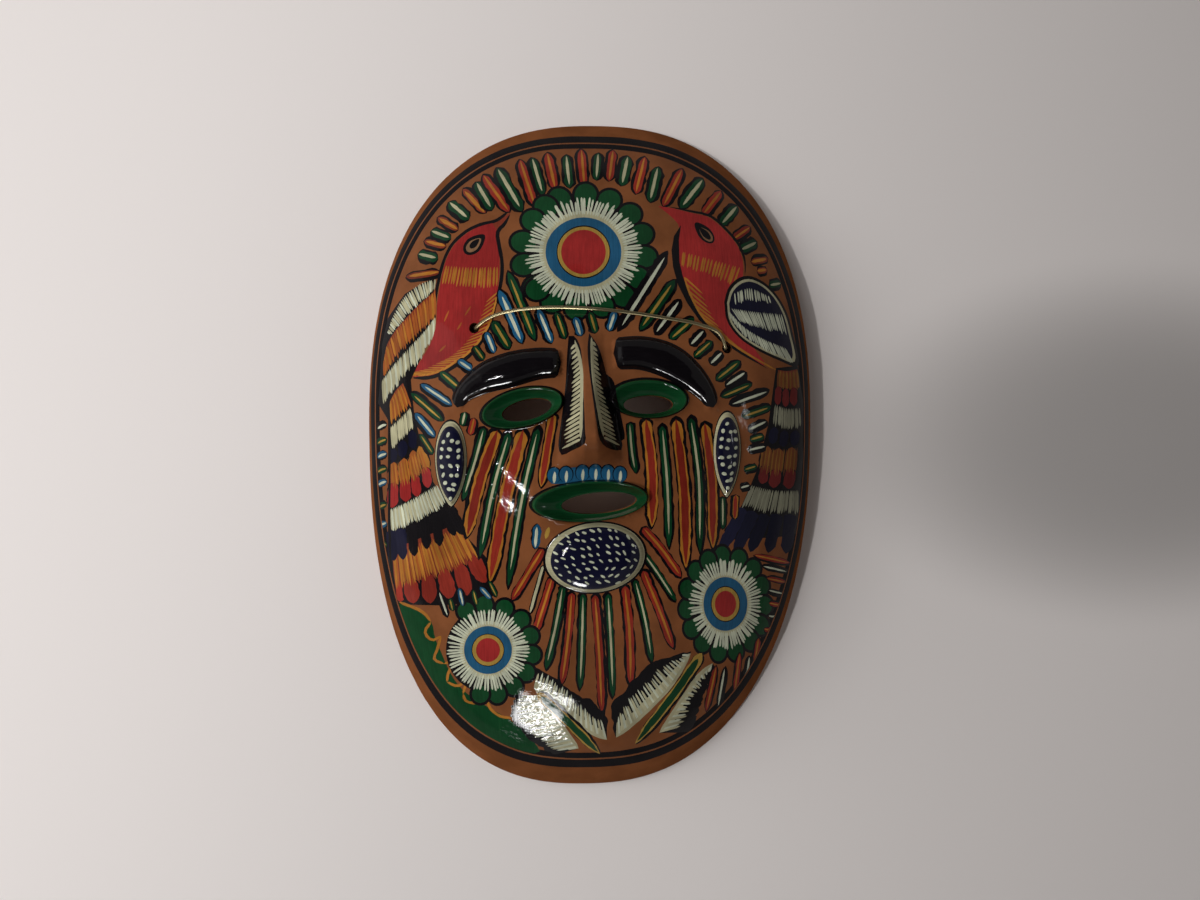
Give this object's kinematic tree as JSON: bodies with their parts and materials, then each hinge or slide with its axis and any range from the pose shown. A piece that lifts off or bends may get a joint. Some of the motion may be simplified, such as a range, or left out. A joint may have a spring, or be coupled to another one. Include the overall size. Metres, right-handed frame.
{
  "type": "ceramic mask",
  "caption": "Hollow oval clay face mask with a raised nose, brows, eye rims, lips, ears and chin, painted all over, with a stiff hanging wire.",
  "frame": {"origin": "on the table under the middle of the rim's box, with the mask lying face up", "axes": "+Z out of the face, +Y to the top of the head, +X to the right as the face is looked at"},
  "size_m": [0.186, 0.28, 0.0775],
  "materials": {
    "painted_clay": "low-fired brown clay, painted in glossy colours and varnished on the face, bare and matt on the rim and behind",
    "brass_wire": "drawn wire, slightly tarnished"
  },
  "bodies": {
    "root": {"mask": "painted_clay", "hanging_wire": "brass_wire"}
  },
  "joints": []
}
